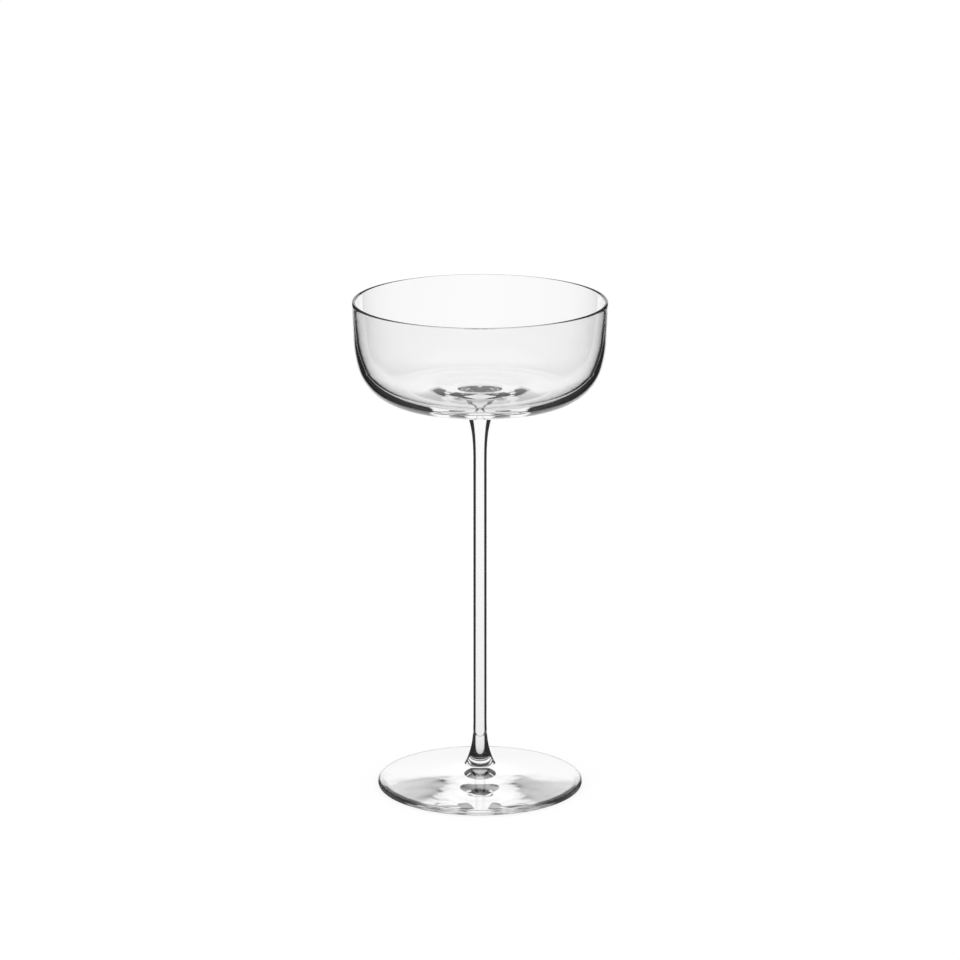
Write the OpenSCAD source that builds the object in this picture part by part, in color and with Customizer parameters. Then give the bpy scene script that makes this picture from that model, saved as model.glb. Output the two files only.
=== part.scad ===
// Stemmed coupe glass: a shallow straight-sided bowl on a tall thin stem and a low conical foot.
// Three glass pieces turned about +Z, hot-sealed face to face. Millimetres, resting plane at z = 0.

/* [Overall] */
// Height from the resting plane to the top of the lip
overall_h = 179; // [150:1:215]

/* [Bowl] */
// Diameter over the lip
rim_d = 90.4; // [78:0.2:104]
// Height of the straight part of the wall
wall_h = 13; // [6:0.2:22]
// Inward lean of the straight wall going down, degrees
wall_lean = 2.2; // [0:0.2:6]
// Radius of the gentle curve below the straight wall
belly_r = 44; // [30:1:60]
// Lean at which the gentle curve passes into the tight one, degrees
belly_lean = 15; // [10:1:24]
// Radius of the tight curve between the wall and the underside
corner_r = 17.6; // [14:0.2:20]
// Slope of the underside where the tight curve ends, degrees
base_slope = 2; // [0.5:0.5:6]
// Glass thickness at the lip
lip_t = 1.2; // [0.6:0.05:1.6]
// Glass thickness at the middle of the base, above the pad
base_t = 4.5; // [3:0.1:7]
// How far the thickening is kept back to the base
swell_power = 2; // [1:0.1:4]

/* [Pad under the bowl] */
// Width of the gentle step from the underside down to the pad
pad_run = 9.5; // [5:0.5:12]
// Steepest slope of that step, degrees
pad_slope = 11; // [6:0.5:18]
// Width of the level ring between the step and the fillet
pad_flat = 1; // [0.5:0.5:4]
// Radius of the hollow fillet that draws the pad down to the stem
base_fillet_r = 4; // [2:0.2:6]

/* [Stem] */
// Diameter of the straight shaft
stem_d = 4.8; // [4:0.1:8]
// Diameter of the sealed face under the bowl
top_seal_d = 10; // [9:0.2:14]
// Height over which the shaft swells to the bowl
top_flare_h = 20; // [12:1:30]
// Diameter of the sealed face on the foot
foot_seal_d = 11; // [9.4:0.2:16]
// Height over which the shaft swells to the foot
foot_flare_h = 18; // [12:1:30]
// How sharply both swellings gather towards their sealed faces
flare_power = 3; // [2:0.1:4]

/* [Foot] */
// Diameter of the foot
foot_d = 74; // [60:1:90]
// Thickness of the rounded edge
foot_edge_t = 2.1; // [1.2:0.1:3]
// Slope of the upper face, degrees
foot_slope = 10.2; // [6:0.2:13]
// Radius of the hollow fillet where the upper face turns up to the stem
foot_fillet_r = 0.4; // [0.2:0.1:4]
// Width of the flat ring that the glass rests on
rest_w = 2; // [1:0.1:6]
// Slope of the hollow underside, degrees
hollow_slope = 4.2; // [2:0.1:8]
// Diameter of the rounded crown of the hollow
crown_d = 10; // [4:1:44]

/* [Hidden] */

$fn = 180;
// Largest turn between neighbouring points of a curved outline, degrees
arc_step = 3;
// Points along each swelling of the stem
flare_steps = 20;
// Points across the gentle curves of the undersides
dish_steps = 10;
glass = [0.86, 0.90, 0.92, 0.45];

stem_r = stem_d / 2;
top_seal_r = top_seal_d / 2;
foot_seal_r = foot_seal_d / 2;
lip_r = lip_t / 2;
edge_r = foot_edge_t / 2;
crown_r = crown_d / 2;

// Angles from from_a to to_a in equal steps no larger than arc_step
function sweep(from_a, to_a) =
    let (count = max(1, ceil(abs(to_a - from_a) / arc_step)))
    [for (i = [0:count]) from_a + (to_a - from_a) * i / count];

function last(list) = list[len(list) - 1];

// Slope from the horizontal at which a swelling leaves its sealed face
function seal_slope(seal_r, flare_h) = atan(flare_h / (flare_power * (seal_r - stem_r)));

// A station of the bowl's outer outline is [radius, height, tilt of its normal below level, length from lip].
function station(centre, radius, tilt, run) =
    [centre[0] + radius * cos(tilt), centre[1] - radius * sin(tilt), tilt, run];

// Centre of an arc that leaves a station along its own direction
function next_centre(from, radius) =
    [from[0] - radius * cos(from[2]), from[1] + radius * sin(from[2])];

// Stations of an arc that carries on from a station until its normal tilts by to_tilt
function arc_on(from, radius, to_tilt) =
    [for (tilt = sweep(from[2], to_tilt))
        station(next_centre(from, radius), radius, tilt, from[3] + radius * (tilt - from[2]) * PI / 180)];

// Points of an arc that carries the underside inwards and down from a point while its slope changes;
// a negative radius levels it out again
function bend(from, radius, from_a, to_a) =
    [for (slope = sweep(from_a, to_a))
        [from[0] - radius * (sin(slope) - sin(from_a)), from[1] - radius * (cos(from_a) - cos(slope))]];

// Outer outline of the bowl from the lip to the axis, as if there were no pad
lip_centre = [rim_d / 2 - lip_r, overall_h - lip_r];
wall_top = station(lip_centre, lip_r, wall_lean, 0);
wall_foot = [wall_top[0] - wall_h * tan(wall_lean), wall_top[1] - wall_h, wall_lean, wall_h / cos(wall_lean)];
belly = arc_on(wall_foot, belly_r, belly_lean);
corner = arc_on(last(belly), corner_r, 90 - base_slope);
corner_end = last(corner);
dish_r = corner_end[0] / sin(base_slope);
dish = [for (i = [0:dish_steps])
    let (tilt = 90 - base_slope + base_slope * i / dish_steps)
    station(next_centre(corner_end, dish_r), dish_r, tilt,
        corner_end[3] + dish_r * (tilt - corner_end[2]) * PI / 180)];
outline_run = last(dish)[3];

// The glass thickens smoothly from the lip to the middle of the base
function glass_t(run) = lip_t + (base_t - lip_t) * pow(sin(90 * run / outline_run), swell_power);
function inner_point(s) = [s[0] - glass_t(s[3]) * cos(s[2]), s[1] + glass_t(s[3]) * sin(s[2])];

// Pad under the bowl: a step down from the dished underside, a level ring and a fillet to the sealed face
top_slope = seal_slope(top_seal_r, top_flare_h);
neck_r = top_seal_r + base_fillet_r * sin(top_slope);
pad_r = neck_r + pad_flat + pad_run;
dish_slope = asin(pad_r / dish_r);
dish_z = next_centre(corner_end, dish_r)[1] - dish_r * cos(dish_slope);
step_r = pad_run / (2 * sin(pad_slope) - sin(dish_slope));
step_down = bend([pad_r, dish_z], step_r, dish_slope, pad_slope);
step_out = bend(last(step_down), -step_r, pad_slope, 0);
base_fillet = bend([neck_r, last(step_out)[1]], base_fillet_r, 0, top_slope);
top_seal_z = last(base_fillet)[1];

// Upper face of the foot: a cone off the rounded edge, then a fillet up to the sealed face
foot_top_slope = seal_slope(foot_seal_r, foot_flare_h);
edge_centre = [foot_d / 2 - edge_r, edge_r];
cone_foot = [edge_centre[0] + edge_r * sin(foot_slope), edge_centre[1] + edge_r * cos(foot_slope)];
cone_top_r = foot_seal_r + foot_fillet_r * (sin(foot_top_slope) - sin(foot_slope));
cone_top_z = cone_foot[1] + (cone_foot[0] - cone_top_r) * tan(foot_slope);
foot_seal_z = cone_top_z + foot_fillet_r * (cos(foot_slope) - cos(foot_top_slope));
foot_fillet = [for (slope = sweep(foot_slope, foot_top_slope))
    [cone_top_r - foot_fillet_r * (sin(slope) - sin(foot_slope)),
     cone_top_z + foot_fillet_r * (cos(foot_slope) - cos(slope))]];

// Hollow underside of the foot: a shallow cone inside the resting ring, rounded off at its crown
hollow_r = edge_centre[0] - rest_w;
crown_z = (hollow_r - crown_r) * tan(hollow_slope);
crown_round_r = crown_r / sin(hollow_slope);
crown = [for (i = [0:dish_steps])
    let (angle = hollow_slope * i / dish_steps)
    [crown_round_r * sin(angle), crown_z + crown_round_r * (cos(angle) - cos(hollow_slope))]];

// Radius of the stem at a distance from a sealed face
function flare_r(seal_r, flare_h, away) = stem_r + (seal_r - stem_r) * pow(1 - away / flare_h, flare_power);

module bowl() {
    outer = concat(
        [for (tilt = sweep(-90, wall_lean)) station(lip_centre, lip_r, tilt, 0)],
        [wall_foot],
        [for (i = [1:len(belly) - 1]) belly[i]],
        [for (i = [1:len(corner) - 1]) corner[i]],
        [for (i = [1:dish_steps]) if (dish[i][0] > pad_r) dish[i]],
        step_down,
        [for (i = [1:len(step_out) - 1]) step_out[i]],
        base_fillet,
        [[0, top_seal_z]]);
    inner = concat(
        [for (i = [dish_steps:-1:1]) inner_point(dish[i])],
        [for (i = [len(corner) - 1:-1:1]) inner_point(corner[i])],
        [for (i = [len(belly) - 1:-1:1]) inner_point(belly[i])],
        [inner_point(wall_foot)],
        [for (tilt = sweep(wall_lean - 180, -90)) if (tilt < -90) station(lip_centre, lip_r, tilt, 0)]);
    color(glass)
        rotate_extrude()
            polygon([for (p = concat(outer, inner)) [p[0], p[1]]]);
}

module stem() {
    upper = [for (i = [0:flare_steps])
        let (away = top_flare_h * i / flare_steps)
        [flare_r(top_seal_r, top_flare_h, away), top_seal_z - away]];
    lower = [for (i = [flare_steps:-1:0])
        let (away = foot_flare_h * i / flare_steps)
        [flare_r(foot_seal_r, foot_flare_h, away), foot_seal_z + away]];
    color(glass)
        rotate_extrude()
            polygon(concat([[0, top_seal_z]], upper, lower, [[0, foot_seal_z]]));
}

module foot() {
    edge = [for (tilt = sweep(90, foot_slope - 90)) station(edge_centre, edge_r, tilt, 0)];
    color(glass)
        rotate_extrude()
            polygon(concat(
                [for (p = edge) [p[0], p[1]]],
                foot_fillet,
                [[0, foot_seal_z]],
                crown,
                [[hollow_r, 0]]));
}

bowl();
stem();
foot();
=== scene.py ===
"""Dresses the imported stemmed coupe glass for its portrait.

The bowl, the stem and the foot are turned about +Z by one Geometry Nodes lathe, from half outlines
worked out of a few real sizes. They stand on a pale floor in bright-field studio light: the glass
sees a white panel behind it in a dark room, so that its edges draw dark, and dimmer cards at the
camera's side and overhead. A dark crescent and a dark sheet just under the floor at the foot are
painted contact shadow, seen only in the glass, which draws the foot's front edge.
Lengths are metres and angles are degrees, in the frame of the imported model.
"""

import logging
import math
from abc import ABC, abstractmethod
from dataclasses import dataclass, field
from enum import Enum
from typing import ClassVar

import bpy
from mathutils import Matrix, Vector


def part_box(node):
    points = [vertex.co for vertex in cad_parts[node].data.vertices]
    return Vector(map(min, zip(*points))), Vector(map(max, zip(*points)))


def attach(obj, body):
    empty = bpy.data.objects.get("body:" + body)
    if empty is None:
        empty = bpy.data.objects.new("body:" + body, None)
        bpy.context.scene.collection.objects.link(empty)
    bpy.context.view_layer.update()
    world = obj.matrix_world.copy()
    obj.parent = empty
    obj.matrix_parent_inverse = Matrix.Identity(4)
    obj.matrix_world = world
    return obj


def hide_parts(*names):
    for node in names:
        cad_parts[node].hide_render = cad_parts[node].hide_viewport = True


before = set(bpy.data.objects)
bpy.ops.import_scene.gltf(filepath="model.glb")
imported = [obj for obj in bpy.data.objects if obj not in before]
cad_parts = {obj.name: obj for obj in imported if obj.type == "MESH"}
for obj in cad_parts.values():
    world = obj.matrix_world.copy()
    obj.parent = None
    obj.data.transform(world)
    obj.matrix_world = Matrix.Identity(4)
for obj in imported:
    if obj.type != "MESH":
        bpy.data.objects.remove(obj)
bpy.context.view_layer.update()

LOG = logging.getLogger("coupe_glass")
ROOT_BODY = "root"
SEALED_MARK = "sealed"

Colour = tuple[float, float, float, float]
Corner = tuple[float, float, float]
WHITE: Colour = (1.0, 1.0, 1.0, 1.0)


class Node(Enum):
    """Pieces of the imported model, by the names of their nodes."""

    BOWL = "bowl"
    STEM = "stem"
    FOOT = "foot"

    def half_width(self) -> float:
        """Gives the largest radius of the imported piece."""
        low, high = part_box(self.value)
        return (high.x - low.x) / 2


class Graph:
    """Adds nodes to a node tree and links them."""

    def __init__(self, tree: bpy.types.NodeTree) -> None:
        """Takes the tree of a material, a world, a group or a modifier."""
        self.tree = tree

    def fill(self, socket: bpy.types.NodeSocket, value: object) -> None:
        """Gives an input a link, where the value is a socket, or a set value.

        Args:
            socket: The input.
            value: The socket or the value that it gets.
        """
        if isinstance(value, bpy.types.NodeSocket):
            self.tree.links.new(value, socket)
        else:
            socket.default_value = value

    def feed(self, node: bpy.types.Node, inputs: dict[str, object]) -> None:
        """Fills some of a node's inputs, by their names."""
        for name, value in inputs.items():
            self.fill(node.inputs[name], value)

    def add(self, kind: str, inputs: dict[str, object] | None = None, **settings: object) -> bpy.types.Node:
        """Adds a node.

        Args:
            kind: Type of the node.
            inputs: What each named input gets.
            **settings: Values of the node's own properties.

        Returns:
            The node.
        """
        node = self.tree.nodes.new(kind)
        for key, value in settings.items():
            setattr(node, key, value)
        self.feed(node, inputs or {})
        return node

    def math(self, operation: str, *values: object, kind: str = "ShaderNodeMath",
             **settings: object) -> bpy.types.NodeSocket:
        """Adds a math node.

        Args:
            operation: The node's operation.
            *values: What its inputs get, in order.
            kind: Type of the node, for real numbers or whole ones.
            **settings: Values of the node's other properties.

        Returns:
            The node's result.
        """
        node = self.add(kind, operation=operation, **settings)
        for socket, value in zip(node.inputs, values):
            self.fill(socket, value)
        return node.outputs[0]

    def ramp(self, value: bpy.types.NodeSocket, given: tuple[float, float], made: tuple[object, object],
             **settings: object) -> bpy.types.NodeSocket:
        """Adds a node that carries a value over from one range to another.

        Args:
            value: The value.
            given: Ends of its range.
            made: What the result is at those ends, and past them.
            **settings: Values of the node's own properties.

        Returns:
            The result.
        """
        node = self.add("ShaderNodeMapRange", {
            "Value": value,
            "From Min": given[0],
            "From Max": given[1],
            "To Min": made[0],
            "To Max": made[1],
        }, **settings)
        return node.outputs["Result"]

    def show(self, shader: bpy.types.Node) -> None:
        """Makes a shader the surface of a material, in place of the one it starts with."""
        self.tree.nodes.remove(self.tree.nodes["Principled BSDF"])
        self.feed(self.tree.nodes["Material Output"], {"Surface": shader.outputs[0]})


def new_material(name: str) -> tuple[bpy.types.Material, Graph]:
    """Makes a material.

    Args:
        name: Name of the material.

    Returns:
        The material and the graph of its nodes.
    """
    material = bpy.data.materials.new(name)
    material.use_nodes = True
    return material, Graph(material.node_tree)


@dataclass(frozen=True)
class Station:
    """A point of the bowl's outer outline.

    Attributes:
        radius: Distance from the axis.
        height: Height above the resting plane.
        tilt: How far the outward normal dips below level.
        run: Length along the outline from the lip.
    """

    radius: float
    height: float
    tilt: float
    run: float

    def arc_on(self, radius: float, to_tilt: float, steps: int) -> list["Station"]:
        """Carries the outline on along an arc.

        Args:
            radius: Radius of the arc.
            to_tilt: Tilt of the normal where the arc ends.
            steps: Number of stations added.

        Returns:
            The stations after this one, the last of them at to_tilt.
        """
        start = math.radians(self.tilt)
        turn = math.radians(to_tilt - self.tilt)
        middle_r = self.radius - radius * math.cos(start)
        middle_h = self.height + radius * math.sin(start)
        stations = []
        for step in range(1, steps + 1):
            angle = start + turn * step / steps
            stations.append(Station(
                middle_r + radius * math.cos(angle),
                middle_h - radius * math.sin(angle),
                math.degrees(angle),
                self.run + radius * (angle - start),
            ))
        return stations

    def line_on(self, drop: float, steps: int) -> list["Station"]:
        """Carries the outline straight on along its own direction.

        Args:
            drop: Height that the line falls by.
            steps: Number of stations added.

        Returns:
            The stations after this one.
        """
        lean = math.tan(math.radians(self.tilt))
        length = drop / math.cos(math.radians(self.tilt))
        stations = []
        for step in range(1, steps + 1):
            part = step / steps
            stations.append(Station(
                self.radius - drop * lean * part,
                self.height - drop * part,
                self.tilt,
                self.run + length * part,
            ))
        return stations

    def inwards(self, depth: float) -> tuple[float, float]:
        """Gives the point at a depth of glass under this station, as radius and height."""
        angle = math.radians(self.tilt)
        return self.radius - depth * math.cos(angle), self.height + depth * math.sin(angle)


@dataclass
class Outline:
    """Half outline of a turned piece, from the axis at the top, round the outside, to the axis below."""

    points: list[tuple[float, float]] = field(default_factory=list)
    sealed: list[bool] = field(default_factory=list)

    def add(self, radius: float, height: float, sealed: bool = False) -> None:
        """Adds one point, marked where it lies on a face sealed to the next piece."""
        self.points.append((max(radius, 0.0), height))
        self.sealed.append(sealed)

    def drop_last(self) -> None:
        """Takes the last point away, where the next stretch starts with it."""
        self.points.pop()
        self.sealed.pop()

    def line_to(self, radius: float, height: float, steps: int) -> None:
        """Carries the outline straight on to a point.

        Args:
            radius: Radius of the point.
            height: Height of the point.
            steps: Number of points added.
        """
        from_r, from_h = self.points[-1]
        for step in range(1, steps + 1):
            share = step / steps
            self.add(from_r + (radius - from_r) * share, from_h + (height - from_h) * share)

    def arc_on(self, radius: float, start: float, end: float, steps: int) -> None:
        """Carries the outline on along an arc.

        Args:
            radius: Radius of the arc, negative where it bends the other way.
            start: Angle of its start, as seen from its middle, from straight up towards the outside.
            end: Angle of its end.
            steps: Number of points added.
        """
        from_r, from_h = self.points[-1]
        middle_r = from_r - radius * math.sin(math.radians(start))
        middle_h = from_h - radius * math.cos(math.radians(start))
        for step in range(1, steps + 1):
            angle = math.radians(start + (end - start) * step / steps)
            self.add(middle_r + radius * math.sin(angle), middle_h + radius * math.cos(angle))

    def seal_disc(self, radius: float, height: float, steps: int, inwards: bool) -> None:
        """Adds a flat sealed face.

        Args:
            radius: Radius of the face.
            height: Height of the face.
            steps: Number of rings.
            inwards: Whether the outline runs towards the axis.
        """
        shares = [step / steps for step in range(steps + 1)]
        for share in reversed(shares) if inwards else shares:
            self.add(radius * share, height, sealed=True)

    def to_mesh(self, name: str) -> bpy.types.Mesh:
        """Makes the outline a chain of edges in the XZ plane.

        Args:
            name: Name of the mesh.

        Returns:
            The mesh, with the sealed points marked.
        """
        mesh = bpy.data.meshes.new(name)
        edges = [(i, i + 1) for i in range(len(self.points) - 1)]
        mesh.from_pydata([(radius, 0.0, height) for radius, height in self.points], edges, [])
        mark = mesh.attributes.new(SEALED_MARK, "BOOLEAN", "POINT")
        mark.data.foreach_set("value", self.sealed)
        return mesh


class Lathe:
    """Geometry Nodes tree that turns a half outline about +Z into a closed, smooth mesh."""

    SEGMENTS = 256
    WELD = 2e-7
    CREASE = 40.0

    def __init__(self) -> None:
        """Builds the tree once for all the pieces."""
        self.tree = bpy.data.node_groups.new("turned_piece", "GeometryNodeTree")
        self.tree.is_modifier = True
        self.graph = Graph(self.tree)
        self.sockets: dict[str, str] = {}
        self._make_interface()
        self._make_nodes()

    def _make_interface(self) -> None:
        """Names the tree's inputs and keeps their identifiers."""
        interface = self.tree.interface
        interface.new_socket("Outline", in_out="INPUT", socket_type="NodeSocketGeometry")
        interface.new_socket("Piece", in_out="OUTPUT", socket_type="NodeSocketGeometry")
        for name, kind in (
            ("Segments", "NodeSocketInt"),
            ("Weld", "NodeSocketFloat"),
            ("Crease", "NodeSocketFloat"),
            ("Glass", "NodeSocketMaterial"),
            ("Seal", "NodeSocketMaterial"),
        ):
            socket = interface.new_socket(name, in_out="INPUT", socket_type=kind)
            self.sockets[name] = socket.identifier

    def _make_nodes(self) -> None:
        """Rolls up the piece, closes and smooths it, and dresses its faces."""
        given = self.graph.add("NodeGroupInput").outputs
        mark = self.graph.add("GeometryNodeInputNamedAttribute", {"Name": SEALED_MARK}, data_type="BOOLEAN")
        sealed = mark.outputs["Attribute"]
        rolled = self._roll(given["Outline"], given["Segments"], sealed)
        smooth = self._smooth(rolled, given["Weld"], given["Crease"])
        real = self.graph.add("GeometryNodeRealizeInstances", {"Geometry": smooth})
        glass = self.graph.add("GeometryNodeSetMaterial", {
            "Geometry": real.outputs["Geometry"],
            "Material": given["Glass"],
        })
        seal = self.graph.add("GeometryNodeSetMaterial", {
            "Geometry": glass.outputs["Geometry"],
            "Selection": sealed,
            "Material": given["Seal"],
        })
        self.graph.add("NodeGroupOutput", {"Piece": seal.outputs["Geometry"]})

    def _roll(self, outline: bpy.types.NodeSocket, segments: bpy.types.NodeSocket,
              sealed: bpy.types.NodeSocket) -> bpy.types.NodeSocket:
        """Lays a grid over the outline and a whole turn, and rolls it up about the axis.

        Args:
            outline: The outline's geometry.
            segments: Number of segments in a turn.
            sealed: The mark of the sealed points.

        Returns:
            The rolled-up mesh, with its sealed points marked.
        """
        graph = self.graph
        whole = "FunctionNodeIntegerMath"
        size = graph.add("GeometryNodeAttributeDomainSize", {"Geometry": outline}, component="MESH")
        row = graph.math("ADD", segments, 1, kind=whole)
        grid = graph.add("GeometryNodeMeshGrid", {
            "Vertices X": size.outputs["Point Count"],
            "Vertices Y": row,
        })
        index = graph.add("GeometryNodeInputIndex").outputs["Index"]
        along = graph.math("DIVIDE", index, row, kind=whole)
        around = graph.math("MODULO", index, row, kind=whole)
        place = graph.add("GeometryNodeInputPosition").outputs["Position"]
        point = self._sample("FLOAT_VECTOR", place, along, outline)
        split = graph.add("ShaderNodeSeparateXYZ", {"Vector": point}).outputs
        turn = graph.math("MULTIPLY", graph.math("DIVIDE", around, segments), math.tau)
        rolled = graph.add("ShaderNodeCombineXYZ", {
            "X": graph.math("MULTIPLY", split["X"], graph.math("COSINE", turn)),
            "Y": graph.math("MULTIPLY", split["X"], graph.math("SINE", turn)),
            "Z": split["Z"],
        })
        roll = graph.add("GeometryNodeSetPosition", {
            "Geometry": grid.outputs["Mesh"],
            "Position": rolled.outputs["Vector"],
        })
        keep = graph.add("GeometryNodeStoreNamedAttribute", {
            "Geometry": roll.outputs["Geometry"],
            "Name": SEALED_MARK,
            "Value": self._sample("BOOLEAN", sealed, along, outline),
        }, data_type="BOOLEAN", domain="POINT")
        return keep.outputs["Geometry"]

    def _sample(self, data_type: str, value: bpy.types.NodeSocket, index: bpy.types.NodeSocket,
                source: bpy.types.NodeSocket) -> bpy.types.NodeSocket:
        """Reads a value of the outline at a point's place in it.

        Args:
            data_type: Type of the value.
            value: The field to read.
            index: Place along the outline.
            source: The outline's geometry.

        Returns:
            The value read.
        """
        inputs = {"Geometry": source, "Value": value, "Index": index}
        node = self.graph.add("GeometryNodeSampleIndex", inputs, data_type=data_type, domain="POINT")
        return node.outputs["Value"]

    def _smooth(self, rolled: bpy.types.NodeSocket, weld: bpy.types.NodeSocket,
                crease: bpy.types.NodeSocket) -> bpy.types.NodeSocket:
        """Closes the seam and the poles, and shades the mesh smooth between its creases.

        Args:
            rolled: The rolled-up mesh.
            weld: Distance within which points are merged.
            crease: Angle above which an edge stays sharp.

        Returns:
            The closed mesh.
        """
        graph = self.graph
        merge = graph.add("GeometryNodeMergeByDistance", {"Geometry": rolled, "Distance": weld})
        closed = merge.outputs["Geometry"]
        smooth = graph.add("GeometryNodeSetShadeSmooth", {"Geometry": closed}, domain="FACE")
        bend = graph.add("GeometryNodeInputMeshEdgeAngle").outputs["Unsigned Angle"]
        sharp = graph.add("GeometryNodeSetShadeSmooth", {
            "Geometry": smooth.outputs["Geometry"],
            "Selection": graph.math("GREATER_THAN", bend, crease),
            "Shade Smooth": False,
        }, domain="EDGE")
        return sharp.outputs["Geometry"]

    def turn(self, name: str, outline: Outline, glass: bpy.types.Material,
             seal: bpy.types.Material) -> bpy.types.Object:
        """Turns an outline into a plain mesh object at the origin.

        Args:
            name: Name of the piece.
            outline: Its half outline.
            glass: Material of its surface.
            seal: Material of its sealed faces.

        Returns:
            The object, with no modifier left on it.
        """
        piece = bpy.data.objects.new(name, outline.to_mesh(name + "_outline"))
        bpy.context.scene.collection.objects.link(piece)
        modifier = piece.modifiers.new("lathe", "NODES")
        modifier.node_group = self.tree
        values = {
            "Segments": self.SEGMENTS,
            "Weld": self.WELD,
            "Crease": math.radians(self.CREASE),
            "Glass": glass,
            "Seal": seal,
        }
        for socket, value in values.items():
            modifier[self.sockets[socket]] = value
        graph = bpy.context.evaluated_depsgraph_get()
        turned = bpy.data.meshes.new_from_object(piece.evaluated_get(graph), depsgraph=graph)
        turned.name = name
        piece.modifiers.clear()
        rough = piece.data
        piece.data = turned
        bpy.data.meshes.remove(rough)
        return piece


class MeltRipple:
    """Shader node group for the faint waves and streaks that hot working leaves in glass."""

    DETAIL = 1.0
    ROUGHNESS = 0.35

    def __init__(self) -> None:
        """Builds the group once for all the glasses."""
        self.tree = bpy.data.node_groups.new("melt_ripple", "ShaderNodeTree")
        interface = self.tree.interface
        for name, kind in (
            ("Waves", "NodeSocketFloat"),
            ("Draw", "NodeSocketFloat"),
            ("Clear", "NodeSocketColor"),
            ("Streak", "NodeSocketColor"),
        ):
            interface.new_socket(name, in_out="INPUT", socket_type=kind)
        interface.new_socket("Height", in_out="OUTPUT", socket_type="NodeSocketFloat")
        interface.new_socket("Tint", in_out="OUTPUT", socket_type="NodeSocketColor")
        self._make_nodes()

    def _make_nodes(self) -> None:
        """Stretches a soft noise along the axis of the glass and reads waves and streaks from it."""
        graph = Graph(self.tree)
        given = graph.add("NodeGroupInput").outputs
        place = graph.add("ShaderNodeTexCoord").outputs["Object"]
        split = graph.add("ShaderNodeSeparateXYZ", {"Vector": place}).outputs
        stretched = graph.add("ShaderNodeCombineXYZ", {
            "X": split["X"],
            "Y": split["Y"],
            "Z": graph.math("DIVIDE", split["Z"], given["Draw"]),
        })
        wave = graph.add("ShaderNodeTexNoise", {
            "Vector": stretched.outputs["Vector"],
            "Scale": given["Waves"],
            "Detail": self.DETAIL,
            "Roughness": self.ROUGHNESS,
        }).outputs["Fac"]
        tint = graph.add("ShaderNodeMix", {
            "Factor": wave,
            "A": given["Clear"],
            "B": given["Streak"],
        }, data_type="RGBA")
        graph.add("NodeGroupOutput", {"Height": wave, "Tint": tint.outputs["Result"]})


@dataclass(frozen=True)
class ClearGlass:
    """Fire-polished clear glass.

    Attributes:
        name: Name of the material.
        ripple: Height of the waves.
        waves: Waves per metre across the surface.
        draw: How many times longer the waves run along the axis of the glass.
        clear: Colour that the clearest glass passes.
        streak: Colour that the faint streaks pass.
        ior: Refractive index.
    """

    name: str
    ripple: float
    waves: float = 80.0
    draw: float = 1.0
    clear: Colour = WHITE
    streak: Colour = (0.988, 0.99, 0.99, 1.0)
    ior: float = 1.52

    def build(self, melt: MeltRipple) -> bpy.types.Material:
        """Makes the material.

        Args:
            melt: The shared waves and streaks.

        Returns:
            The glass.
        """
        material, graph = new_material(self.name)
        effect = graph.add("ShaderNodeGroup", {
            "Waves": self.waves,
            "Draw": self.draw,
            "Clear": self.clear,
            "Streak": self.streak,
        }, node_tree=melt.tree)
        bump = graph.add("ShaderNodeBump", {"Distance": self.ripple, "Height": effect.outputs["Height"]})
        graph.feed(graph.tree.nodes["Principled BSDF"], {
            "Base Color": effect.outputs["Tint"],
            "Roughness": 0.0,
            "IOR": self.ior,
            "Transmission Weight": 1.0,
            "Normal": bump.outputs["Normal"],
        })
        return material


@dataclass(frozen=True)
class FusedSeal:
    """Face where two pieces are melted into one, which light passes unbent."""

    name: str = "fused_seal"

    def build(self) -> bpy.types.Material:
        """Makes the material.

        Returns:
            The pass-through material.
        """
        material, graph = new_material(self.name)
        graph.show(graph.add("ShaderNodeBsdfTransparent"))
        return material


class TurnedPiece(ABC):
    """Piece of the glass that is turned about +Z."""

    NODE: ClassVar[Node]
    GLASS: ClassVar[ClearGlass]

    @abstractmethod
    def outline(self) -> Outline:
        """Draws the half outline of the piece."""

    def dress(self, melt: MeltRipple) -> bpy.types.Material:
        """Makes the glass of the piece."""
        return self.GLASS.build(melt)

    def build(self, lathe: Lathe, melt: MeltRipple, seal: bpy.types.Material) -> bpy.types.Object:
        """Turns and dresses the piece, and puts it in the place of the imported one.

        Args:
            lathe: The lathe.
            melt: The shared waves and streaks of the glass.
            seal: Material of the sealed faces.

        Returns:
            The piece.
        """
        piece = lathe.turn("glass_" + self.NODE.value, self.outline(), self.dress(melt), seal)
        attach(piece, ROOT_BODY)
        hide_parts(self.NODE.value)
        return piece


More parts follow.
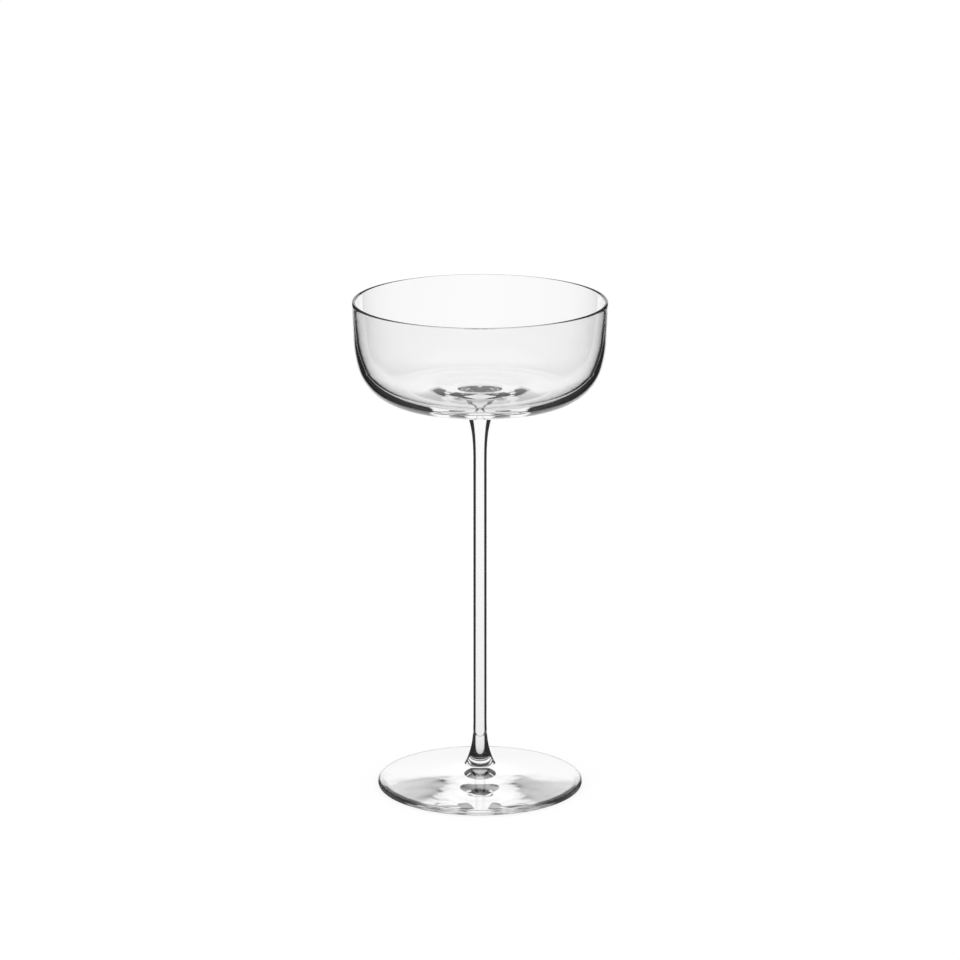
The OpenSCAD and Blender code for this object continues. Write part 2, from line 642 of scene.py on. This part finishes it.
@dataclass
class Stem(TurnedPiece):
    """Thin solid rod that swells towards a sealed face at each end.

    Attributes:
        shaft_r: Radius of the straight shaft.
        top_seal_r: Radius of the sealed face under the bowl.
        top_flare_h: Height over which the shaft swells to the bowl.
        foot_flare_h: Height over which the shaft swells to the foot.
        flare_power: How sharply both swellings gather towards their sealed faces.
        flare_steps: Rings along each swelling.
        shaft_steps: Rings along the shaft.
        disc_steps: Rings across each sealed face.
    """

    NODE: ClassVar[Node] = Node.STEM
    GLASS: ClassVar[ClearGlass] = ClearGlass("stem_glass", ripple=0.00001, draw=8.0)

    shaft_r: float = 0.0024
    top_seal_r: float = 0.005
    top_flare_h: float = 0.020
    foot_flare_h: float = 0.018
    flare_power: float = 3.0
    flare_steps: int = 60
    shaft_steps: int = 20
    disc_steps: int = 4

    def __post_init__(self) -> None:
        """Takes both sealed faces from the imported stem, whose lower one is the wider."""
        low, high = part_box(self.NODE.value)
        self.top_seal_h: float = high.z
        self.foot_seal_h: float = low.z
        self.foot_seal_r: float = self.NODE.half_width()

    def slope(self, seal_r: float, flare_h: float) -> float:
        """Gives the slope from level at which a swelling leaves its sealed face."""
        return math.degrees(math.atan(flare_h / (self.flare_power * (seal_r - self.shaft_r))))

    def flare_r(self, seal_r: float, share: float) -> float:
        """Gives the radius at a share of a swelling's height away from its sealed face."""
        return self.shaft_r + (seal_r - self.shaft_r) * (1.0 - share) ** self.flare_power

    def outline(self) -> Outline:
        """Draws the half outline from the upper seal to the lower one.

        Returns:
            The outline.
        """
        line = Outline()
        shares = [step / self.flare_steps for step in range(1, self.flare_steps + 1)]
        line.seal_disc(self.top_seal_r, self.top_seal_h, self.disc_steps, inwards=False)
        for share in shares:
            line.add(self.flare_r(self.top_seal_r, share), self.top_seal_h - self.top_flare_h * share)
        line.line_to(self.shaft_r, self.foot_seal_h + self.foot_flare_h, self.shaft_steps)
        for share in reversed(shares[:-1]):
            line.add(self.flare_r(self.foot_seal_r, share), self.foot_seal_h + self.foot_flare_h * share)
        line.seal_disc(self.foot_seal_r, self.foot_seal_h, self.disc_steps, inwards=True)
        return line


@dataclass
class Bowl(TurnedPiece):
    """Shallow straight-sided bowl with a thin lip, on a flat base with a low pad drawn down to the stem.

    The fields named for steps are numbers of rings along the stretches of the outline.

    Attributes:
        stem: The stem that the bowl is sealed to.
        wall_h: Height of the straight part of the wall.
        wall_lean: Inward lean of the straight wall going down.
        belly_r: Radius of the gentle curve below the straight wall.
        belly_lean: Lean at which the gentle curve passes into the tight one.
        corner_r: Radius of the tight curve between the wall and the underside.
        base_slope: Slope of the underside where the tight curve ends.
        lip_t: Thickness of the glass at the lip.
        base_t: Thickness of the glass at the middle of the base, above the pad.
        swell: How far the thickening is kept back to the base.
        pad_run: Width of the gentle step from the underside down to the pad.
        pad_slope: Steepest slope of that step.
        pad_flat: Width of the level ring between the step and the fillet.
        base_fillet_r: Radius of the hollow fillet that draws the pad down to the stem.
    """

    NODE: ClassVar[Node] = Node.BOWL
    GLASS: ClassVar[ClearGlass] = ClearGlass("bowl_glass", ripple=0.00001)

    stem: Stem
    wall_h: float = 0.013
    wall_lean: float = 2.2
    belly_r: float = 0.044
    belly_lean: float = 15.0
    corner_r: float = 0.0176
    base_slope: float = 2.0
    lip_t: float = 0.0012
    base_t: float = 0.0045
    swell: float = 2.0
    pad_run: float = 0.0095
    pad_slope: float = 11.0
    pad_flat: float = 0.001
    base_fillet_r: float = 0.004
    wall_steps: int = 16
    belly_steps: int = 24
    corner_steps: int = 64
    base_steps: int = 40
    bend_steps: int = 24
    lip_steps: int = 16

    def __post_init__(self) -> None:
        """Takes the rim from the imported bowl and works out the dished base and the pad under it."""
        _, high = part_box(self.NODE.value)
        self.rim_h: float = high.z
        self.rim_r: float = self.NODE.half_width()
        wall = self._wall()
        self.dish_r: float = wall[-1].radius / math.sin(math.radians(self.base_slope))
        self.stations: list[Station] = wall + wall[-1].arc_on(self.dish_r, 90.0, self.base_steps)
        self.neck_slope: float = self.stem.slope(self.stem.top_seal_r, self.stem.top_flare_h)
        fillet_w = self.base_fillet_r * math.sin(math.radians(self.neck_slope))
        self.neck_r: float = self.stem.top_seal_r + fillet_w
        self.pad_r: float = self.neck_r + self.pad_flat + self.pad_run

    def _wall(self) -> list[Station]:
        """Draws the outer outline from the lip to the end of the tight curve.

        Returns:
            The stations, the first of them where the lip meets the wall.
        """
        lip_r = self.lip_t / 2
        lean = math.radians(self.wall_lean)
        wall = [Station(
            self.rim_r - lip_r + lip_r * math.cos(lean),
            self.rim_h - lip_r - lip_r * math.sin(lean),
            self.wall_lean,
            0.0,
        )]
        wall += wall[-1].line_on(self.wall_h, self.wall_steps)
        wall += wall[-1].arc_on(self.belly_r, self.belly_lean, self.belly_steps)
        wall += wall[-1].arc_on(self.corner_r, 90.0 - self.base_slope, self.corner_steps)
        return wall

    def glass_t(self, run: float) -> float:
        """Gives the thickness of the glass at a length from the lip: it swells smoothly to the base."""
        share = run / self.stations[-1].run
        return self.lip_t + (self.base_t - self.lip_t) * math.sin(math.pi / 2 * share) ** self.swell

    def outline(self) -> Outline:
        """Draws the half outline from the floor of the bowl, over the lip, to the seal below.

        Returns:
            The outline.
        """
        line = Outline()
        for station in reversed(self.stations):
            line.add(*station.inwards(self.glass_t(station.run)))
        line.arc_on(self.lip_t / 2, self.wall_lean - 90.0, self.wall_lean + 90.0, self.lip_steps)
        for station in self.stations[1:]:
            if station.radius > self.pad_r:
                line.add(station.radius, station.height)
        self._pad(line)
        line.drop_last()
        line.seal_disc(self.stem.top_seal_r, self.stem.top_seal_h, self.stem.disc_steps, inwards=True)
        return line

    def _pad(self, line: Outline) -> None:
        """Carries the outline on over the pad: a low step, a level ring and a fillet down to the stem.

        Args:
            line: The outline as far as the edge of the pad.
        """
        slope = math.asin(self.pad_r / self.dish_r)
        step_r = self.pad_run / (2 * math.sin(math.radians(self.pad_slope)) - math.sin(slope))
        line.add(self.pad_r, self.stations[-1].height + self.dish_r * (1 - math.cos(slope)))
        line.arc_on(step_r, -math.degrees(slope), -self.pad_slope, self.bend_steps)
        line.arc_on(-step_r, -self.pad_slope, 0.0, self.bend_steps)
        line.line_to(self.neck_r, line.points[-1][1], 1)
        line.arc_on(self.base_fillet_r, 0.0, -self.neck_slope, self.bend_steps)


@dataclass
class Foot(TurnedPiece):
    """Low conical disc with a rounded edge, a fillet up to the stem and a hollow underside.

    The fields named for steps are numbers of rings along the stretches of the outline.

    Attributes:
        stem: The stem that the foot is sealed to.
        edge_t: Thickness of the rounded edge.
        slope: Slope of the upper face.
        fillet_r: Radius of the hollow fillet where the upper face turns up to the stem.
        rest_w: Width of the flat ring that the glass rests on.
        hollow_slope: Slope of the hollow underside.
        crown_r: Radius of the rounded crown of the hollow.
    """

    NODE: ClassVar[Node] = Node.FOOT
    GLASS: ClassVar[ClearGlass] = ClearGlass("foot_glass", ripple=0.0001)

    stem: Stem
    edge_t: float = 0.0021
    slope: float = 10.2
    fillet_r: float = 0.0004
    rest_w: float = 0.002
    hollow_slope: float = 4.2
    crown_r: float = 0.005
    cone_steps: int = 40
    edge_steps: int = 28
    fillet_steps: int = 24
    dome_steps: int = 48
    rest_steps: int = 4

    def outline(self) -> Outline:
        """Draws the half outline from the seal, out to the edge and back under the hollow.

        Returns:
            The outline.
        """
        line = Outline()
        stem = self.stem
        line.seal_disc(stem.foot_seal_r, stem.foot_seal_h, stem.disc_steps, inwards=False)
        stem_slope = stem.slope(stem.foot_seal_r, stem.foot_flare_h)
        line.arc_on(-self.fillet_r, stem_slope, self.slope, self.fillet_steps)
        cone = math.radians(self.slope)
        edge_r = self.edge_t / 2
        edge_middle = self.NODE.half_width() - edge_r
        cone_r = edge_middle + edge_r * math.sin(cone)
        cone_h = edge_r + edge_r * math.cos(cone)
        line.line_to(cone_r, cone_h, self.cone_steps)
        line.arc_on(edge_r, self.slope, 180.0, self.edge_steps)
        hollow = math.radians(self.hollow_slope)
        hollow_r = edge_middle - self.rest_w
        line.line_to(hollow_r, 0.0, self.rest_steps)
        line.line_to(self.crown_r, (hollow_r - self.crown_r) * math.tan(hollow), self.dome_steps)
        line.arc_on(self.crown_r / math.sin(hollow), self.hollow_slope, 0.0, self.fillet_steps)
        return line


@dataclass
class Camera:
    """Long lens that looks along +Y and down on the glass, as the portrait was taken."""

    distance: float = 1.4665
    height: float = 0.4983
    pitch: float = 14.70
    lens: float = 159.6
    sensor: float = 36.0

    def build(self) -> bpy.types.Object:
        """Makes the camera and puts it in the scene.

        Returns:
            The camera.
        """
        data = bpy.data.cameras.new("portrait_camera")
        data.lens = self.lens
        data.sensor_width = self.sensor
        camera = bpy.data.objects.new("portrait_camera", data)
        camera.location = (0.0, -self.distance, self.height)
        camera.rotation_euler = (math.radians(90.0 - self.pitch), 0.0, 0.0)
        bpy.context.scene.collection.objects.link(camera)
        bpy.context.scene.camera = camera
        return camera


class Stand(Enum):
    """Stands at the middle of the foot that carry cards and turn with the camera, by their names."""

    SQUARE = "card_stand"
    LEVEL = "card_base"

    def build(self, camera: bpy.types.Object) -> bpy.types.Object:
        """Sets up the stand, square to the camera's line of sight or level on the floor.

        Args:
            camera: The camera that it turns with.

        Returns:
            The stand.
        """
        stand = bpy.data.objects.new(self.value, None)
        bpy.context.scene.collection.objects.link(stand)
        follow = stand.constraints.new("COPY_ROTATION")
        follow.target = camera
        follow.use_x = self is Stand.SQUARE
        follow.use_y = self is Stand.SQUARE
        return stand


@dataclass(frozen=True)
class PlainGlow:
    """Evenly lit surface of a card."""

    light: float

    def build(self, name: str) -> bpy.types.Material:
        """Makes the material.

        Args:
            name: Name of the material.

        Returns:
            The lit surface.
        """
        material, graph = new_material(name)
        graph.show(graph.add("ShaderNodeEmission", {"Color": WHITE, "Strength": self.light}))
        return material


@dataclass(frozen=True)
class Taper:
    """How a card narrows and dims downwards, with heights as shares of its own.

    Attributes:
        wide_at: Height down to which it keeps its width.
        point_at: Height at which it has run to a point.
        point_w: Share of its width that is left there.
        bright_at: Height down to which it keeps its light.
        dim: Share of its light that is left at its lower end.
    """

    wide_at: float
    point_at: float
    point_w: float
    bright_at: float
    dim: float


@dataclass(frozen=True)
class SoftGlow:
    """Lit surface of a card that clears softly towards its edges.

    Attributes:
        light: How bright it is.
        soft: Share of the card's width over which it clears at each side.
        fade: Share of the card's height over which it clears at top and bottom.
        one_sided: Whether it is clear from behind.
        taper: How it narrows and dims downwards, if it does.
    """

    light: float
    soft: float
    fade: float
    one_sided: bool = False
    taper: Taper | None = None

    def build(self, name: str) -> bpy.types.Material:
        """Makes the material.

        Args:
            name: Name of the material.

        Returns:
            The lit surface.
        """
        material, graph = new_material(name)
        place = graph.add("ShaderNodeTexCoord").outputs["Generated"]
        split = graph.add("ShaderNodeSeparateXYZ", {"Vector": place}).outputs
        width, light = 1.0, self.light
        if self.taper:
            ends = (self.taper.point_at, self.taper.wide_at)
            width = graph.ramp(split["Y"], ends, (self.taper.point_w, 1.0))
            light = graph.ramp(split["Y"], (0.0, self.taper.bright_at), (light * self.taper.dim, light))
        across = self._cover(graph, split["X"], width, self.soft)
        cover = graph.math("MULTIPLY", across, self._cover(graph, split["Y"], 1.0, self.fade))
        if self.one_sided:
            behind = graph.add("ShaderNodeNewGeometry").outputs["Backfacing"]
            cover = graph.math("SUBTRACT", cover, behind, use_clamp=True)
        glow = graph.add("ShaderNodeEmission", {"Color": WHITE, "Strength": light})
        mixed = graph.add("ShaderNodeMixShader", {"Fac": cover})
        graph.fill(mixed.inputs[1], graph.add("ShaderNodeBsdfTransparent").outputs["BSDF"])
        graph.fill(mixed.inputs[2], glow.outputs["Emission"])
        graph.show(mixed)
        return material

    def _cover(self, graph: Graph, place: bpy.types.NodeSocket, width: object,
               reach: float) -> bpy.types.NodeSocket:
        """Tells how far the card covers what is behind it, from its middle out to both edges.

        Args:
            graph: The graph of the material.
            place: Place along the card, as a share.
            width: Share of the card that is used there.
            reach: Share of the used part over which it clears at each edge.

        Returns:
            One where the card is full and nought where it is clear.
        """
        away = graph.math("ABSOLUTE", graph.math("SUBTRACT", place, 0.5))
        scaled = graph.math("DIVIDE", away, width)
        return graph.ramp(scaled, (0.5, 0.5 - reach), (0.0, 1.0), interpolation_type="SMOOTHSTEP")


@dataclass(frozen=True)
class Card(ABC):
    """Card that is seen only in the glass.

    Attributes:
        name: Name of the card and of its material.
        glow: Its lit surface.
    """

    name: str
    glow: PlainGlow | SoftGlow

    @abstractmethod
    def shape(self) -> tuple[list[Corner], list[tuple[int, ...]]]:
        """Gives the corners and the faces of the card."""

    def build(self, stand: bpy.types.Object | None) -> None:
        """Sets up the card.

        Args:
            stand: The stand that carries it, or nothing for a card fixed in the room.
        """
        corners, faces = self.shape()
        mesh = bpy.data.meshes.new(self.name)
        mesh.from_pydata(corners, [], faces)
        mesh.materials.append(self.glow.build(self.name))
        card = bpy.data.objects.new(self.name, mesh)
        bpy.context.scene.collection.objects.link(card)
        card.parent = stand
        card.visible_camera = False
        card.visible_diffuse = False
        card.visible_shadow = False


@dataclass(frozen=True)
class FlatCard(Card):
    """Plain rectangular card.

    Attributes:
        width: Width of the card.
        height: Height of the card.
        off: Distance along its stand towards the camera, or height in the room.
    """

    width: float
    height: float
    off: float

    def shape(self) -> tuple[list[Corner], list[tuple[int, ...]]]:
        """Gives the corners and the face of the card."""
        x, y = self.width / 2, self.height / 2
        return [(-x, -y, self.off), (x, -y, self.off), (x, y, self.off), (-x, y, self.off)], [(0, 1, 2, 3)]


@dataclass(frozen=True)
class Crescent(Card):
    """Crescent of painted contact shadow just under the floor, along the front edge of the foot.

    Attributes:
        inside: How far it reaches in from the foot's edge at its middle.
        outside: How far it reaches out past the foot's edge.
        drop: How far it lies under the floor.
        start: Angle of its first tip, from +X.
        end: Angle of its last tip.
        steps: Number of faces along it.
    """

    inside: float
    outside: float
    drop: float
    start: float
    end: float
    steps: int

    def shape(self) -> tuple[list[Corner], list[tuple[int, ...]]]:
        """Draws the crescent from tip to tip.

        Returns:
            Its corners and its faces.
        """
        outer = Node.FOOT.half_width() + self.outside
        corners = []
        for step in range(self.steps + 1):
            share = step / self.steps
            angle = math.radians(self.start + (self.end - self.start) * share)
            width = (self.inside + self.outside) * math.sqrt(math.sin(math.pi * share))
            for radius in (outer - width, outer):
                corners.append((radius * math.cos(angle), radius * math.sin(angle), -self.drop))
        return corners, [(2 * step, 2 * step + 1, 2 * step + 3, 2 * step + 2) for step in range(self.steps)]


@dataclass(frozen=True)
class ShadeSheet(Card):
    """Dark sheet of painted contact shadow that runs back and down from under the foot's back edge, edge on
    to the line of sight.

    Attributes:
        width: Width of the sheet.
        inside: How far inside the foot's edge it starts.
        depth: How far it runs back.
        slope: How steeply it runs down.
    """

    width: float
    inside: float
    depth: float
    slope: float

    def shape(self) -> tuple[list[Corner], list[tuple[int, ...]]]:
        """Draws the sheet from its near edge to its far one.

        Returns:
            Its corners and its face.
        """
        x = self.width / 2
        near = Node.FOOT.half_width() - self.inside
        far = near + self.depth
        low = -self.depth * math.tan(math.radians(self.slope))
        return [(-x, near, 0.0), (x, near, 0.0), (x, far, low), (-x, far, low)], [(0, 1, 2, 3)]


@dataclass
class Studio:
    """Bright-field studio: a white floor, and a dark room with cards that only the glass sees.

    Attributes:
        camera: The camera that the cards turn with.
        floor_size: Width of the floor.
        floor_matt: Share of light that the floor sends back, which carries the shadow.
        floor_white: How bright the open floor is to the camera.
        room_light: How bright the room is behind the glass.
        room_shine: How bright the room is in reflections, away from its back.
        dark_at: Part along +Y of a reflection's direction from which it has only room_light.
        shine_at: Part along +Y down from which it has all of room_shine.
        bounces: Number of times that light may bounce in the glass.
        panel: White panel behind the glass.
        front: Dim card at the camera's side.
        overhead: Dim card above the glass.
        crescent: Dark crescent under the foot's front edge, painted contact shadow.
        flag: Dark sheet behind the foot, painted contact shadow seen in the foot's front edge.
    """

    camera: bpy.types.Object
    floor_size: float = 30.0
    floor_matt: float = 0.2
    floor_white: float = 1.01
    room_light: float = 0.015
    room_shine: float = 0.2
    dark_at: float = 0.80
    shine_at: float = 0.45
    bounces: int = 48
    panel: FlatCard = FlatCard(
        "card_panel",
        SoftGlow(
            light=1.04,
            soft=0.08,
            fade=0.08,
            taper=Taper(wide_at=0.44, point_at=0.1, point_w=0.01, bright_at=0.65, dim=0.56),
        ),
        width=0.26,
        height=0.7,
        off=-0.2,
    )
    front: FlatCard = FlatCard(
        "card_front", SoftGlow(light=0.25, soft=0.5, fade=0.5), width=3.4, height=3.4, off=2.0)
    overhead: FlatCard = FlatCard(
        "card_top", SoftGlow(light=0.55, soft=0.2, fade=0.2), width=0.9, height=0.9, off=0.7)
    # Painted shade: this near-black crescent stands in for the contact shadow on the floor under the foot's
    # front edge.
    crescent: Crescent = Crescent(
        "card_ring", PlainGlow(light=0.05), inside=0.0018, outside=0.0004, drop=0.0003,
        start=190.0, end=350.0, steps=64)
    # Painted shade: this dark sheet stands in for the contact shadow on the floor behind the foot's back
    # edge.
    flag: ShadeSheet = ShadeSheet(
        "card_flag", SoftGlow(light=0.06, soft=0.08, fade=0.1, one_sided=True),
        width=0.08, inside=0.0015, depth=0.015, slope=18.4)

    def build(self) -> None:
        """Sets up the view, the world, the floor and the cards."""
        scene = bpy.context.scene
        scene.view_settings.view_transform = "Standard"
        scene.cycles.max_bounces = self.bounces
        scene.cycles.transmission_bounces = self.bounces
        scene.cycles.glossy_bounces = self.bounces
        self._world()
        self._floor()
        square = Stand.SQUARE.build(self.camera)
        level = Stand.LEVEL.build(self.camera)
        for card, stand in (
            (self.panel, square),
            (self.front, square),
            (self.overhead, None),
            (self.crescent, level),
            (self.flag, level),
        ):
            card.build(stand)

    def _world(self) -> None:
        """Lights the floor with even white, and leaves the room round the glass dark in the glass."""
        world = bpy.data.worlds.new("studio_white")
        world.use_nodes = True
        graph = Graph(world.node_tree)
        towards = graph.add("ShaderNodeTexCoord").outputs["Generated"]
        back = graph.add("ShaderNodeSeparateXYZ", {"Vector": towards}).outputs["Y"]
        shine = graph.ramp(back, (self.dark_at, self.shine_at), (self.room_light, self.room_shine))
        path = graph.add("ShaderNodeLightPath").outputs
        glossy = graph.ramp(path["Is Glossy Ray"], (0.0, 1.0), (1.0, shine))
        level = graph.ramp(path["Is Transmission Ray"], (0.0, 1.0), (glossy, self.room_light))
        graph.feed(world.node_tree.nodes["Background"], {"Color": WHITE, "Strength": level})
        bpy.context.scene.world = world

    def _floor(self) -> None:
        """Lays a wide floor that is white in the open, keeps the shadow and isn't seen in the glass."""
        half = self.floor_size / 2
        mesh = bpy.data.meshes.new("floor")
        corners = [(-half, -half, 0.0), (half, -half, 0.0), (half, half, 0.0), (-half, half, 0.0)]
        mesh.from_pydata(corners, [], [(0, 1, 2, 3)])
        mesh.materials.append(self._floor_material())
        floor = bpy.data.objects.new("floor", mesh)
        bpy.context.scene.collection.objects.link(floor)
        floor.visible_glossy = False
        floor.visible_transmission = False

    def _floor_material(self) -> bpy.types.Material:
        """Makes the floor's matt white, topped up to full white for the camera.

        Returns:
            The material.
        """
        material, graph = new_material("floor_white")
        path = graph.add("ShaderNodeLightPath").outputs
        mirrored = graph.math("MAXIMUM", path["Is Glossy Ray"], path["Is Transmission Ray"])
        seen = graph.math("MAXIMUM", path["Is Camera Ray"], mirrored)
        graph.feed(graph.tree.nodes["Principled BSDF"], {
            "Base Color": (self.floor_matt,) * 3 + (1.0,),
            "Roughness": 1.0,
            "Specular IOR Level": 0.0,
            "Emission Color": WHITE,
            "Emission Strength": graph.math("MULTIPLY", seen, self.floor_white - self.floor_matt),
        })
        return material


def main() -> None:
    """Builds the studio and the three pieces, and reports each piece."""
    logging.basicConfig(level=logging.INFO)
    Studio(Camera().build()).build()
    lathe = Lathe()
    melt = MeltRipple()
    seal = FusedSeal().build()
    stem = Stem()
    for part in (Bowl(stem), Foot(stem), stem):
        piece = part.build(lathe, melt, seal)
        LOG.info("%s: %d faces", piece.name, len(piece.data.polygons))


if __name__ == "__main__":
    main()
